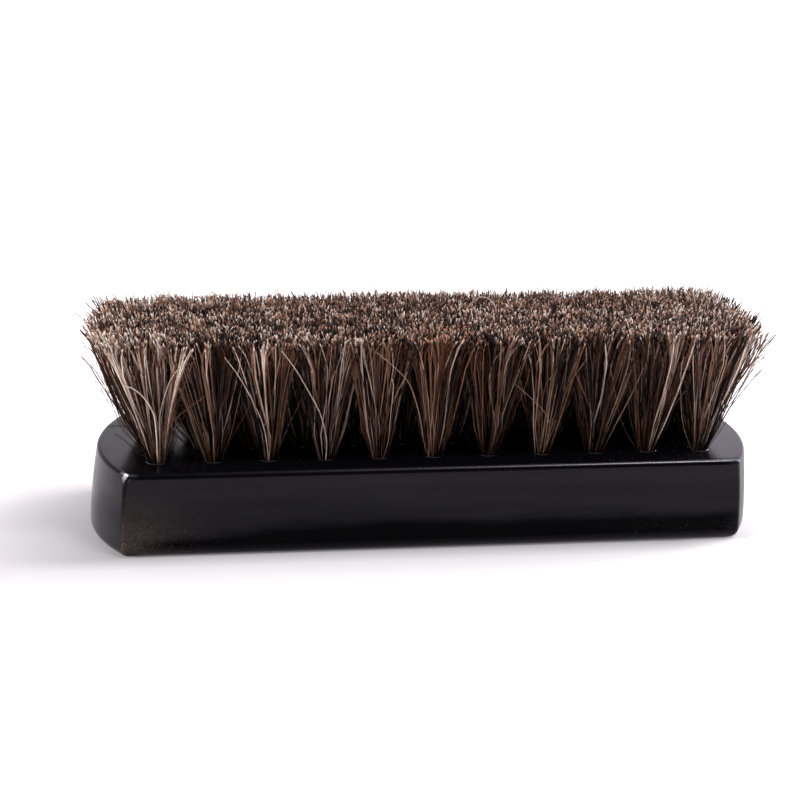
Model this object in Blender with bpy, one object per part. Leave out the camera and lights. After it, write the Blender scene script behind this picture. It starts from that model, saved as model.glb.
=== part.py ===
"""Horsehair brush for shoes and clothes, lying on its back with the bristles up.

A one-piece lacquered wooden block with bowed ends carries four rows of hair tufts. Each tuft is a
lock of horsehair doubled over a flat wire anchor and driven into a blind hole, which is drilled at
the angle at which the tuft leans. Metres, +Z up, +X along the block. The origin is the middle of the
block's back, which fits the palm in use and is what the brush lies on here.
"""

import math
import random

import bmesh
import bpy
from mathutils import Matrix, Vector

MM = 0.001

# Block: its outline at the back, and how far its ends draw in up to the bristle face
BLOCK_LENGTH = 165.0 * MM
BLOCK_WIDTH = 50.0 * MM
BLOCK_HEIGHT = 21.0 * MM
END_BULGE = 6.5 * MM
END_DRAW_IN = 1.5 * MM
BACK_ROUND = 3.0 * MM
FACE_ROUND = 0.9 * MM
CORNER_ROUND = 0.9 * MM

# Holes: margins run from the block's widest outline to the hole centres on the bristle face
SIDE_MARGIN = 9.5 * MM
OUTER_ROW_END_MARGIN = 15.6 * MM
INNER_ROW_END_MARGIN = 14.3 * MM
HOLE_RADIUS = 2.2 * MM
HOLE_DEPTH = 12.0 * MM
CUT_OVERRUN = 1.5 * MM

# Tufts: the knot of folded hair in the hole, and the flat anchor whose ends stand out of its fold
SEAT_GAP = 0.3 * MM
KNOT_PROUD = 0.3 * MM
FOLD_SQUEEZE = 0.5 * MM
ANCHOR_HEIGHT = 3.0 * MM
ANCHOR_THICKNESS = 0.6 * MM

# Bristles: splay is how far the trimmed field of tips reaches past the outermost hole centres
BRISTLE_LENGTH = 31.0 * MM
TRIM_SCATTER = 0.8 * MM
SIDE_SPLAY = 9.0 * MM
OUTER_END_SPLAY = 14.5 * MM
INNER_END_SPLAY = 16.5 * MM

# Counts
TUFTS_IN_OUTER_ROW = 11
TUFTS_IN_INNER_ROW = 12
STRANDS_ACROSS = 3
STRAND_SIDES = 3
KNOT_SIDES = 6
HOLE_SIDES = 12
END_SEGMENTS = 18
CORNER_SEGMENTS = 3
ROUND_SEGMENTS = 4
WALL_SEGMENTS = 4

# Shares of the spacing between a tuft's strands: their radius at the root, half way up and at the
# tip, the rim left outside the outermost root, and how far a tip strays from its place
ROOT_RADIUS_SHARE = 0.27
MIDDLE_RADIUS_SHARE = 0.28
TIP_RADIUS_SHARE = 0.31
RIM_SHARE = 0.12
STRAY_SHARE = 0.18

# Share of its whole lean that a strand has made half way up, so that it bends outwards above
LEAN_SHARE = 0.46

SEED = 11
CREASE_DEGREES = 30
LACQUER_COLOUR = (0.012, 0.012, 0.014, 1.0)
LACQUER_ROUGHNESS = 0.28
HAIR_COLOUR = (0.085, 0.055, 0.04, 1.0)
HAIR_ROUGHNESS = 0.55


def clear_scene():
    """Remove whatever objects the scene starts with."""
    for obj in list(bpy.data.objects):
        bpy.data.objects.remove(obj, do_unlink=True)


def make_material(name, colour, roughness):
    """A plain finish with the piece's colour and roughness."""
    material = bpy.data.materials.new(name)
    material.use_nodes = True
    shader = material.node_tree.nodes["Principled BSDF"]
    shader.inputs["Base Color"].default_value = colour
    shader.inputs["Roughness"].default_value = roughness
    shader.inputs["Metallic"].default_value = 0.0
    return material


def add_object(name, bm, material=None):
    """Turn a finished bmesh into a named object in the scene."""
    mesh = bpy.data.meshes.new(name)
    bm.to_mesh(mesh)
    bm.free()
    if material is not None:
        mesh.materials.append(material)
    obj = bpy.data.objects.new(name, mesh)
    bpy.context.scene.collection.objects.link(obj)
    return obj


def join_rings(bm, lower, upper):
    """Quads between two rings of as many vertices, anticlockwise seen from above."""
    faces = []
    for a, b, c, d in zip(lower, lower[1:] + lower[:1], upper[1:] + upper[:1], upper):
        faces.append(bm.faces.new((a, b, c, d)))
    return faces


def arc_points(centre, radius, start, end, segments):
    """Points along an arc from the angle start to the angle end, both included."""
    points = []
    for i in range(segments + 1):
        angle = start + (end - start) * i / segments
        points.append((centre[0] + radius * math.cos(angle), centre[1] + radius * math.sin(angle)))
    return points


def block_outline(inset, draw_in):
    """The block's plan outline, anticlockwise.

    Two straight sides, and at each end one large bow between two small corner rounds. inset moves
    the whole outline inwards, and draw_in moves only the bowed ends.
    """
    bow_radius = (END_BULGE**2 + (BLOCK_WIDTH / 2) ** 2) / (2 * END_BULGE)
    bow_x = BLOCK_LENGTH / 2 - bow_radius - draw_in
    radius = bow_radius - inset
    corner_y = BLOCK_WIDTH / 2 - inset - CORNER_ROUND
    corner_x = bow_x + math.sqrt((radius - CORNER_ROUND) ** 2 - corner_y**2)
    bow_angle = math.atan2(corner_y, corner_x - bow_x)
    lower = (corner_x, -corner_y)
    upper = (corner_x, corner_y)
    end = arc_points(lower, CORNER_ROUND, -math.pi / 2, -bow_angle, CORNER_SEGMENTS)[:-1]
    end += arc_points((bow_x, 0), radius, -bow_angle, bow_angle, END_SEGMENTS)
    end += arc_points(upper, CORNER_ROUND, bow_angle, math.pi / 2, CORNER_SEGMENTS)[1:]
    return end + [(-x, -y) for x, y in end]


def block_section():
    """(inset, draw in, height) up the block's wall, from its back to its bristle face."""
    section = []
    for i in range(ROUND_SEGMENTS + 1):
        turn = math.pi / 2 * i / ROUND_SEGMENTS
        section.append((BACK_ROUND * (1 - math.sin(turn)), 0, BACK_ROUND * (1 - math.cos(turn))))
    wall = BLOCK_HEIGHT - BACK_ROUND - FACE_ROUND
    for i in range(1, WALL_SEGMENTS + 1):
        up = i / WALL_SEGMENTS
        section.append((0, END_DRAW_IN * up**2, BACK_ROUND + wall * up))
    for i in range(1, ROUND_SEGMENTS + 1):
        turn = math.pi / 2 * i / ROUND_SEGMENTS
        height = BLOCK_HEIGHT - FACE_ROUND * (1 - math.sin(turn))
        section.append((FACE_ROUND * (1 - math.cos(turn)), END_DRAW_IN, height))
    return section


def row_table():
    """(name, y, tuft count, end hole's x, tip field's half length) of each row, front to back."""
    outer_y = BLOCK_WIDTH / 2 - SIDE_MARGIN
    outer_x = BLOCK_LENGTH / 2 - OUTER_ROW_END_MARGIN
    inner_x = BLOCK_LENGTH / 2 - INNER_ROW_END_MARGIN
    outer = (TUFTS_IN_OUTER_ROW, outer_x, outer_x + OUTER_END_SPLAY)
    inner = (TUFTS_IN_INNER_ROW, inner_x, inner_x + INNER_END_SPLAY)
    return [
        ("front", -outer_y, *outer),
        ("mid_front", -outer_y / 3, *inner),
        ("mid_back", outer_y / 3, *inner),
        ("back", outer_y, *outer),
    ]


def tuft_places():
    """(name, root, tip, cell width, cell depth) of every tuft.

    The tips of all tufts share one trimmed field, cut into a cell for each tuft, so that no strand
    crosses into its neighbour's space. root and tip are the middles of a tuft's hole and cell.
    """
    rows = row_table()
    depth = 2 * (BLOCK_WIDTH / 2 - SIDE_MARGIN + SIDE_SPLAY) / len(rows)
    places = []
    for row, (row_name, y, count, end_x, field_x) in enumerate(rows):
        width = 2 * field_x / count
        tip_y = depth * (row - (len(rows) - 1) / 2)
        for i in range(count):
            along = 2 * i / (count - 1) - 1
            root = Vector((end_x * along, y, BLOCK_HEIGHT))
            tip = Vector(((field_x - width / 2) * along, tip_y, BLOCK_HEIGHT + BRISTLE_LENGTH))
            places.append((f"tuft_{row_name}_{i + 1:02d}", root, tip, width, depth))
    return places


def lean_frame(root, tip):
    """The frame of a drilled hole: its origin on the bristle face and its Z along the tuft."""
    turn = Vector((0, 0, 1)).rotation_difference(tip - root)
    return Matrix.Translation(root) @ turn.to_matrix().to_4x4()


def make_drill():
    """One cutter that holds a leaning cylinder for every tuft's blind hole."""
    bm = bmesh.new()
    middle = Matrix.Translation((0, 0, (CUT_OVERRUN - HOLE_DEPTH) / 2))
    for _, root, tip, _, _ in tuft_places():
        bmesh.ops.create_cone(
            bm,
            cap_ends=True,
            segments=HOLE_SIDES,
            radius1=HOLE_RADIUS,
            radius2=HOLE_RADIUS,
            depth=HOLE_DEPTH + CUT_OVERRUN,
            matrix=lean_frame(root, tip) @ middle,
        )
    cutter = add_object("hole_cutter", bm)
    cutter.hide_render = True
    cutter.display_type = "WIRE"
    return cutter


def make_block(material):
    """The wooden block: its outline carried up its section, closed, and drilled for the tufts."""
    bm = bmesh.new()
    rings = []
    for inset, draw_in, height in block_section():
        rings.append([bm.verts.new((x, y, height)) for x, y in block_outline(inset, draw_in)])
    for lower, upper in zip(rings, rings[1:]):
        join_rings(bm, lower, upper)
    bm.faces.new(reversed(rings[0]))
    bm.faces.new(rings[-1])
    block = add_object("block", bm, material)
    block.data.shade_smooth()
    block.data.set_sharp_from_angle(angle=math.radians(CREASE_DEGREES))
    drill = block.modifiers.new("tuft_holes", "BOOLEAN")
    drill.operation = "DIFFERENCE"
    drill.solver = "EXACT"
    drill.object = make_drill()
    return block


def level_ring(bm, centre, radius, sides, turn):
    """A level ring of vertices round centre, turned by an angle."""
    made = []
    for i in range(sides):
        angle = turn + 2 * math.pi * i / sides
        made.append(bm.verts.new(centre + Vector((math.cos(angle), math.sin(angle), 0)) * radius))
    return made


def draw_out_anchor(bm, fold):
    """Draw the flat anchor's two ends out of opposite faces of the fold in the hair."""
    bm.normal_update()
    for face in (fold[0], fold[KNOT_SIDES // 2]):
        outward = face.normal.copy()
        sideways = Vector((0, 0, 1)).cross(outward)
        end = bmesh.ops.extrude_discrete_faces(bm, faces=[face])["faces"][0]
        for vert in end.verts:
            place = vert.co.dot(sideways)
            vert.co += sideways * (math.copysign(ANCHOR_THICKNESS / 2, place) - place)
            vert.co += outward * FOLD_SQUEEZE


def add_knot(bm):
    """The folded hair in its hole, with the anchor in the fold. Returns the ring at its top."""
    radius = HOLE_RADIUS - SEAT_GAP
    folded = radius - FOLD_SQUEEZE
    foot = SEAT_GAP - HOLE_DEPTH
    turn = -math.pi / KNOT_SIDES
    rings = []
    for height, r in ((foot, folded), (foot + ANCHOR_HEIGHT, folded), (KNOT_PROUD, radius)):
        rings.append(level_ring(bm, Vector((0, 0, height)), r, KNOT_SIDES, turn))
    bm.faces.new(reversed(rings[0]))
    fold = join_rings(bm, rings[0], rings[1])
    join_rings(bm, rings[1], rings[2])
    draw_out_anchor(bm, fold)
    return rings[-1]


def add_strand(bm, root, tip, radii, turn, to_local):
    """One lock of hair from the knot's top to its trimmed tip. Returns its root ring.

    root is in the tuft's frame and tip in the world's. radii are the lock's at its root, half way up
    and at its tip.
    """
    start = to_local.inverted() @ root
    middle = start.lerp(tip, LEAN_SHARE)
    middle.z = (start.z + tip.z) / 2
    rings = [level_ring(bm, root, radii[0], STRAND_SIDES, turn)]
    for centre, radius in ((middle, radii[1]), (tip, radii[2])):
        ring = level_ring(bm, centre, radius, STRAND_SIDES, turn)
        for vert in ring:
            vert.co = to_local @ vert.co
        rings.append(ring)
    join_rings(bm, rings[0], rings[1])
    join_rings(bm, rings[1], rings[2])
    bm.faces.new(rings[2])
    return rings[0]


def square_to_disc(u, v):
    """Map the square from -1 to 1 onto the unit disc without folding it."""
    return u * math.sqrt(1 - v * v / 2), v * math.sqrt(1 - u * u / 2)


def strand_sizes(width, depth):
    """How far out a tuft's strands are rooted, and a strand's radius at root, middle and tip."""
    flat = (HOLE_RADIUS - SEAT_GAP) * math.cos(math.pi / KNOT_SIDES)
    spacing_share = 2 / (STRANDS_ACROSS - 1)
    reach = flat / (1 + spacing_share * (ROOT_RADIUS_SHARE + RIM_SHARE))
    root_spacing = reach * spacing_share
    tip_spacing = min(width, depth) / STRANDS_ACROSS
    middle_spacing = root_spacing + (tip_spacing - root_spacing) * LEAN_SHARE
    radii = (
        root_spacing * ROOT_RADIUS_SHARE,
        middle_spacing * MIDDLE_RADIUS_SHARE,
        tip_spacing * TIP_RADIUS_SHARE,
    )
    return reach, radii


def make_tuft(name, root, tip, width, depth, material, rng):
    """One tuft: its knot, its anchor's ends and its strands, fused into one closed body."""
    frame = lean_frame(root, tip)
    to_local = frame.inverted()
    reach, radii = strand_sizes(width, depth)
    middle = (STRANDS_ACROSS - 1) / 2
    bm = bmesh.new()
    rings = [add_knot(bm)]
    for i in range(STRANDS_ACROSS):
        for j in range(STRANDS_ACROSS):
            x, y = square_to_disc(i / middle - 1, j / middle - 1)
            start = Vector((reach * x, reach * y, KNOT_PROUD))
            end_x = width / STRANDS_ACROSS * (i - middle + rng.uniform(-STRAY_SHARE, STRAY_SHARE))
            end_y = depth / STRANDS_ACROSS * (j - middle + rng.uniform(-STRAY_SHARE, STRAY_SHARE))
            end = tip + Vector((end_x, end_y, rng.uniform(-TRIM_SCATTER, TRIM_SCATTER)))
            turn = rng.uniform(0, 2 * math.pi / STRAND_SIDES)
            rings.append(add_strand(bm, start, end, radii, turn, to_local))
    edges = []
    for ring in rings:
        edges += [bm.edges.get(pair) for pair in zip(ring, ring[1:] + ring[:1])]
    bmesh.ops.triangle_fill(bm, use_beauty=True, edges=edges, normal=(0, 0, 1))
    bmesh.ops.recalc_face_normals(bm, faces=bm.faces)
    tuft = add_object(name, bm, material)
    tuft.matrix_world = frame
    return tuft


def main():
    """Build the whole brush under one empty."""
    clear_scene()
    lacquer = make_material("black_lacquer", LACQUER_COLOUR, LACQUER_ROUGHNESS)
    hair = make_material("horsehair", HAIR_COLOUR, HAIR_ROUGHNESS)
    brush = bpy.data.objects.new("brush", None)
    bpy.context.scene.collection.objects.link(brush)
    make_block(lacquer).parent = brush
    rng = random.Random(SEED)
    for name, root, tip, width, depth in tuft_places():
        make_tuft(name, root, tip, width, depth, hair, rng).parent = brush


main()
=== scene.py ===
"""Looks of a horsehair brush that lies on its back, bristles up, on a pale floor.

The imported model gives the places: the block's box, and the foot and the tips of every tuft. Around
it this script builds a finely rounded lacquered block with drilled holes, and for each tuft a lock
of some hundreds of single hairs.
"""

import logging
import math
from dataclasses import dataclass, field
from enum import Enum

import bmesh
import bpy
import numpy as np
from mathutils import Matrix, Vector


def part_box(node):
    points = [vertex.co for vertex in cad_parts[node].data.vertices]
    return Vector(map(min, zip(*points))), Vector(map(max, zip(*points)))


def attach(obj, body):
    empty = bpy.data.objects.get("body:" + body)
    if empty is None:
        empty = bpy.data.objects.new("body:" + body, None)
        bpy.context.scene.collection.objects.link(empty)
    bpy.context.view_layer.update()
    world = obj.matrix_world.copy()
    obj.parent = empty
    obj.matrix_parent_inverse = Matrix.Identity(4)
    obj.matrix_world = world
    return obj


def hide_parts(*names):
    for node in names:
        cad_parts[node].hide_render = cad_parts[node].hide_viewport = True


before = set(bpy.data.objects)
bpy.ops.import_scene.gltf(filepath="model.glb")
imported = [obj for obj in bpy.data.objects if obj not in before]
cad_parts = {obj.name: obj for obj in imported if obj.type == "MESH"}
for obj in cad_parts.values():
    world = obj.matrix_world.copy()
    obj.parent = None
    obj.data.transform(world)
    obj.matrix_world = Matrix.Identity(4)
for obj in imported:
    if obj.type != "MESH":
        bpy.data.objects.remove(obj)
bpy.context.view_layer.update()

MM = 0.001
BODY = "root"
HAIR_MAP = "strand"
BAKE_MAP = "OFBake"

Socket = bpy.types.NodeSocket
Points = list[tuple[float, float]]

log = logging.getLogger("brush")


def add_object(name: str, data: bpy.types.ID) -> bpy.types.Object:
    """Put a mesh, a lamp or a camera into the scene.

    Args:
        name: The object's name.
        data: What it shows.

    Returns:
        The object.
    """
    obj = bpy.data.objects.new(name, data)
    bpy.context.scene.collection.objects.link(obj)
    return obj


def new_object(name: str, bm: bmesh.types.BMesh) -> bpy.types.Object:
    """Turn a finished bmesh into an object in the scene.

    Args:
        name: The object's name.
        bm: The mesh, which is freed.

    Returns:
        The object.
    """
    mesh = bpy.data.meshes.new(name)
    bm.to_mesh(mesh)
    bm.free()
    return add_object(name, mesh)


def join_rings(bm: bmesh.types.BMesh, lower: list, upper: list) -> list[bmesh.types.BMFace]:
    """Join two rings of as many vertices by a band of faces.

    Args:
        bm: The mesh, which is changed.
        lower: The first ring's vertices.
        upper: The second ring's vertices.

    Returns:
        The faces.
    """
    corners = zip(lower, lower[1:] + lower[:1], upper[1:] + upper[:1], upper)
    return [bm.faces.new(four) for four in corners]


def loft(bm: bmesh.types.BMesh, rings: list[list[bmesh.types.BMVert]]) -> None:
    """Join rings of vertices into a closed body.

    Args:
        bm: The mesh, which is changed.
        rings: The rings from the bottom up. The first and the last are closed by a face.
    """
    for lower, upper in zip(rings, rings[1:]):
        join_rings(bm, lower, upper)
    bm.faces.new(reversed(rings[0]))
    bm.faces.new(rings[-1])


@dataclass(frozen=True)
class Run:
    """A level over a span of places: a smooth step from 0 to 1, or a straight run between two ends."""

    start: float
    stop: float
    ends: tuple | None = None

    def scaled(self, unit: float, zero: float = 0.0) -> "Run":
        """The same run over places that are measured in another unit and from another zero."""
        return Run(zero + self.start * unit, zero + self.stop * unit, self.ends)


@dataclass(frozen=True)
class Noise:
    """A noise texture: how fine it is, as one number or one for each axis, and how detailed."""

    scale: float | tuple
    detail: float
    roughness: float = 0.5


class NodeBuilder:
    """Adds shader nodes to a new material or world and links them."""

    MIX_INPUTS = (6, 7)
    MIX_OUTPUT = 2

    def __init__(self, owner: bpy.types.Material | bpy.types.World) -> None:
        """Switch on the owner's nodes, and find its Principled shader if it has one.

        Args:
            owner: The new material or world.
        """
        self.owner = owner
        owner.use_nodes = True
        self.tree = owner.node_tree
        self.shader = self.tree.nodes.get("Principled BSDF")

    def add(self, kind: str, inputs: dict | None = None, **settings: object) -> bpy.types.Node:
        """Add a node.

        Args:
            kind: The node's Blender type, without its ShaderNode prefix.
            inputs: A value or a socket for each input that is set, by the input's name or number.
            settings: The node's own properties.

        Returns:
            The new node.
        """
        node = self.tree.nodes.new("ShaderNode" + kind)
        for key, value in settings.items():
            setattr(node, key, value)
        self.put(node, inputs or {})
        return node

    def put(self, node: bpy.types.Node, inputs: dict) -> None:
        """Set inputs of a node to values, or link them to sockets.

        Args:
            node: The node.
            inputs: A value or a socket for each input, by the input's name or number.
        """
        for key, value in inputs.items():
            if isinstance(value, Socket):
                self.tree.links.new(value, node.inputs[key])
            else:
                node.inputs[key].default_value = value

    def math(self, operation: str, a: object, b: object = 0.0, clamp: bool = False) -> Socket:
        """Add a math node.

        Args:
            operation: The node's operation.
            a: The first number or socket.
            b: The second number or socket.
            clamp: Whether the result is held between 0 and 1.

        Returns:
            The result's socket.
        """
        return self.add("Math", {0: a, 1: b}, operation=operation, use_clamp=clamp).outputs[0]

    def product(self, value: object, *factors: object) -> Socket:
        """Multiply a number or socket by each of the others in turn."""
        for factor in factors:
            value = self.math("MULTIPLY", value, factor)
        return value

    def axes(self, vector: Socket) -> tuple[Socket, Socket, Socket]:
        """Split a vector into its x, y and z."""
        parts = self.add("SeparateXYZ", {0: vector}).outputs
        return parts["X"], parts["Y"], parts["Z"]

    def remap(self, value: object, low: float, high: float, to_low: object, to_high: object) -> Socket:
        """Map a span of values straight onto another span, and hold them inside it.

        Args:
            value: The socket to map.
            low: The value that becomes to_low, which may be the larger one.
            high: The value that becomes to_high.
            to_low: The first end of the new span.
            to_high: The other end of the new span.

        Returns:
            The mapped socket.
        """
        inputs = {"Value": value, "From Min": low, "From Max": high, "To Min": to_low, "To Max": to_high}
        return self.add("MapRange", inputs).outputs["Result"]

    def level(self, value: Socket, run: Run) -> Socket:
        """Map a value by a run.

        Args:
            value: The socket to map.
            run: The span of its values, and the ends of the level.

        Returns:
            The level.
        """
        if run.ends is not None:
            return self.remap(value, run.start, run.stop, *run.ends)
        inputs = {"Value": value, "From Min": run.start, "From Max": run.stop}
        return self.add("MapRange", inputs, interpolation_type="SMOOTHSTEP").outputs["Result"]

    def choose(self, mask: Socket, off: object, on: object) -> Socket:
        """A number that is off where the mask is 0, and on where it is 1."""
        return self.remap(mask, 0.0, 1.0, off, on)

    def noise(self, place: Socket, noise: Noise) -> Socket:
        """Add a noise texture.

        Args:
            place: The coordinates.
            noise: How the texture is set.

        Returns:
            The noise's level, most of it between 0.25 and 0.75.
        """
        scale = noise.scale
        if isinstance(scale, tuple):
            place = self.add("Mapping", {"Vector": place, "Scale": scale}).outputs[0]
            scale = 1.0
        inputs = {"Vector": place, "Scale": scale, "Detail": noise.detail, "Roughness": noise.roughness}
        return self.add("TexNoise", inputs).outputs["Fac"]

    def chance(self, vector: Socket) -> Socket:
        """A number from 0 to 1 that is picked at random for each vector."""
        return self.add("TexWhiteNoise", {"Vector": vector}, noise_dimensions="3D").outputs["Value"]

    def mix(self, share: object, a: object, b: object, multiply: bool = False) -> Socket:
        """Mix two colours.

        Args:
            share: How much of b shows, from 0 to 1.
            a: The first colour or socket.
            b: The second colour or socket.
            multiply: Whether b darkens a, held at white, and doesn't cover it.

        Returns:
            The mixed colour's socket.
        """
        node = self.add("Mix", data_type="RGBA")
        if multiply:
            node.blend_type = "MULTIPLY"
            node.clamp_result = True
        self.put(node, {"Factor": share, self.MIX_INPUTS[0]: a, self.MIX_INPUTS[1]: b})
        return node.outputs[self.MIX_OUTPUT]

    def ramp(self, value: Socket, stops: tuple) -> Socket:
        """Turn a value into a colour.

        Args:
            value: The socket that picks the colour.
            stops: (position, colour) pairs in rising order.

        Returns:
            The colour's socket.
        """
        node = self.add("ValToRGB", {"Fac": value})
        elements = node.color_ramp.elements
        while len(elements) < len(stops):
            elements.new(1.0)
        for element, (position, colour) in zip(elements, stops):
            element.position = position
            element.color = (*colour, 1.0)
        return node.outputs["Color"]


@dataclass
class Surface:
    """The places on the block's surface that its lacquer reads, as sockets."""

    nodes: NodeBuilder
    low: Vector
    high: Vector
    sides: Run = Run(0.96, 0.995)

    def __post_init__(self) -> None:
        """Add the nodes that read the place, and that tell the long sides from the rest."""
        self.place = self.nodes.add("TexCoord").outputs["Object"]
        self.x, y, self.z = self.nodes.axes(self.place)
        self.aside = self.nodes.math("ABSOLUTE", y)
        self.on_side = self.nodes.level(self.aside, self.sides.scaled(self.high.y))

    def reach(self, share: float) -> float:
        """The x of a place along the block, from -1 at its left end to 1 at its right end."""
        return share * (self.high.x if share > 0 else -self.low.x)

    def along(self, run: Run) -> Socket:
        """The level of a run along the block, from -1 at its left end to 1 at its right end."""
        return self.nodes.level(self.x, Run(self.reach(run.start), self.reach(run.stop), run.ends))

    def outwards(self, run: Run) -> Socket:
        """The level of a run from the middle of the block, at 0, to both its ends, at 1."""
        return self.nodes.level(self.nodes.math("ABSOLUTE", self.x), run.scaled(self.high.x))

    def up(self, run: Run) -> Socket:
        """The level of a run from the block's back, at 0, to its bristle face, at 1."""
        return self.nodes.level(self.z, run.scaled(self.high.z))

    def below(self, run: Run) -> Socket:
        """The level of a run over depths below the bristle face."""
        return self.nodes.level(self.z, run.scaled(-1.0, self.high.z))

    def inside(self, run: Run) -> Socket:
        """The level of a run over distances from the long sides."""
        return self.nodes.level(self.aside, run.scaled(-1.0, self.high.y))


class HairTone(Enum):
    """The natural colours of the hairs that are mixed in a tuft, as linear colours."""

    SOOT = (0.013, 0.007, 0.005)
    UMBER = (0.095, 0.044, 0.028)
    CHESTNUT = (0.268, 0.130, 0.082)
    GINGER = (0.455, 0.210, 0.115)
    DUN = (0.560, 0.345, 0.252)
    PALE = (1.000, 0.800, 0.700)


@dataclass(frozen=True)
class Gloss:
    """How strongly each part of the lacquer mirrors, as specular levels and gains on them.

    Most of these levels are set by place as painted light and painted shade: painted highlights
    on the rim towards the right, on the sanded facets at the left corners and on the burrs; painted
    reflection on the walls, stronger towards the top, the right and the foot and weaker at the right
    end, and on the top face, stronger towards the right; painted shade in the band, in the crease,
    in the line at the left corners, on the rim at the left and on the face among the tufts.

    Runs along the block go from -1 at its left end to 1 at its right end, and wall_up from 0 at its
    back to 1 at its bristle face. Depths and distances from the long sides are in metres.
    """

    wall: float = 0.195
    wall_up: Run = Run(0.40, 0.90, (0.86, 1.12))
    wall_along: Run = Run(-1.0, 1.0, (0.94, 1.12))
    streaks: Noise = Noise((22.0, 90.0, 240.0), 5.0)
    streak_gain: Run = Run(0.25, 0.75, (0.76, 1.20))
    foot_gain: Run = Run(0.3 * MM, 2.0 * MM, (2.05, 1.0))
    wall_right: Run = Run(0.92, 0.96, (1.0, 0.62))
    face: Run = Run(-1.0, 1.0, (0.14, 0.55))
    face_depth: Run = Run(0.10 * MM, 0.01 * MM)
    bare_left: Run = Run(-0.62, -0.76)
    bare_right: Run = Run(0.70, 0.80)
    # Painted shade: the bristle face mirrors nothing among the tufts.
    shade_among_tufts: float = 0.0
    # Painted highlight: the rim mirrors little at the left and strongly towards the right.
    rim: Run = Run(-0.85, 0.70, (0.05, 0.95))
    rim_right: Run = Run(0.86, 0.90, (1.0, 0.4))
    rim_depth: Run = Run(0.70 * MM, 0.42 * MM)
    # Painted glint: the sanded facets at the left corners mirror strongly.
    facet: float = 1.0
    facet_along: Run = Run(-0.86, -0.88)
    facet_inside: Run = Run(3.0 * MM, 2.6 * MM)
    # Painted shade: a dark line up the corners at the left end.
    line: float = 0.02
    line_inside: Run = Run(0.9 * MM, 0.6 * MM)
    line_outside: Run = Run(0.01 * MM, 0.06 * MM)
    # Painted shade: the strip under the bristle face's edge mirrors nothing.
    crease: float = 0.0
    crease_inside: Run = Run(1.2 * MM, 0.9 * MM)
    crease_depth: Run = Run(1.5 * MM, 1.15 * MM)
    crease_ends: Run = Run(0.90, 0.86)
    burr: float = 0.9
    burr_depth: Run = Run(-0.005 * MM, -0.03 * MM)
    # Painted shade: the specular level in the darker band low on the long sides.
    band: float = 0.035

    def build(self, surface: Surface, band: Socket) -> Socket:
        """The level everywhere: least in the band and among the tufts, most at the right end.

        Args:
            surface: The places on the block.
            band: The painted shade band, from 0 to 1.

        Returns:
            The specular level.
        """
        nodes = surface.nodes
        at_left = surface.along(self.facet_along)
        level = nodes.choose(self.on_crease_shade(surface), self.on_wall(surface), self.crease)
        line = nodes.product(at_left, surface.inside(self.line_inside), surface.inside(self.line_outside))
        level = nodes.choose(line, level, self.line)
        rim = nodes.product(surface.along(self.rim), surface.along(self.rim_right))
        facet = nodes.product(at_left, surface.inside(self.facet_inside))
        rim = nodes.choose(facet, rim, self.facet)
        level = nodes.choose(surface.below(self.rim_depth), level, rim)
        bare = nodes.math("MAXIMUM", surface.along(self.bare_left), surface.along(self.bare_right))
        face = nodes.choose(bare, self.shade_among_tufts, surface.along(self.face))
        level = nodes.choose(surface.below(self.face_depth), level, face)
        level = nodes.choose(surface.below(self.burr_depth), level, self.burr)
        return nodes.choose(band, level, self.band)

    def on_wall(self, surface: Surface) -> Socket:
        """The level on the walls: more towards the top, the right and the foot, and in streaks.

        Args:
            surface: The places on the block.

        Returns:
            The specular level.
        """
        nodes = surface.nodes
        return nodes.product(
            surface.up(self.wall_up),
            self.wall,
            surface.along(self.wall_along),
            nodes.level(nodes.noise(surface.place, self.streaks), self.streak_gain),
            nodes.level(surface.z, self.foot_gain),
            surface.along(self.wall_right),
        )

    def on_crease_shade(self, surface: Surface) -> Socket:
        """The painted shade under the bristle face's edge, along the middle of the long sides.

        Args:
            surface: The places on the block.

        Returns:
            The crease, from 0 to 1.
        """
        inside = surface.inside(self.crease_inside)
        depth = surface.below(self.crease_depth)
        return surface.nodes.product(inside, depth, surface.outwards(self.crease_ends))


@dataclass(frozen=True)
class PaintedShadeBand:
    """Painted shade: the darker band low on the long sides, above the rounded edge of the back.

    It stands in for the floor's shadow close to the block, mirrored in the lacquer.
    """

    drift: Noise = Noise((28.0, 60.0, 160.0), 4.0)
    wave: Run = Run(0.3, 0.7, (-1.3 * MM, 1.3 * MM))
    drop: Run = Run(-0.92, -0.50, (4.4 * MM, 0.0))
    top: Run = Run(9.6 * MM, 6.0 * MM)
    foot: Run = Run(1.26 * MM, 2.8 * MM)
    below_foot: Run = Run(-1.0, 1.0, (0.30, 0.0))
    left: Run = Run(-0.93, -0.76)
    right: Run = Run(0.96, 0.86)

    def build(self, surface: Surface) -> Socket:
        """The band, which is cloudy, lower at the left, and faint below its foot.

        Args:
            surface: The places on the block.

        Returns:
            The band, from 0 to 1.
        """
        nodes = surface.nodes
        wave = nodes.level(nodes.noise(surface.place, self.drift), self.wave)
        height = nodes.math("ADD", nodes.math("ADD", surface.z, wave), surface.along(self.drop))
        faint = surface.along(self.below_foot)
        over = nodes.remap(surface.z, self.foot.start, self.foot.stop, faint, 1.0)
        ends = nodes.product(surface.along(self.left), surface.along(self.right))
        return nodes.product(over, nodes.level(height, self.top), surface.on_side, ends)


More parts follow.
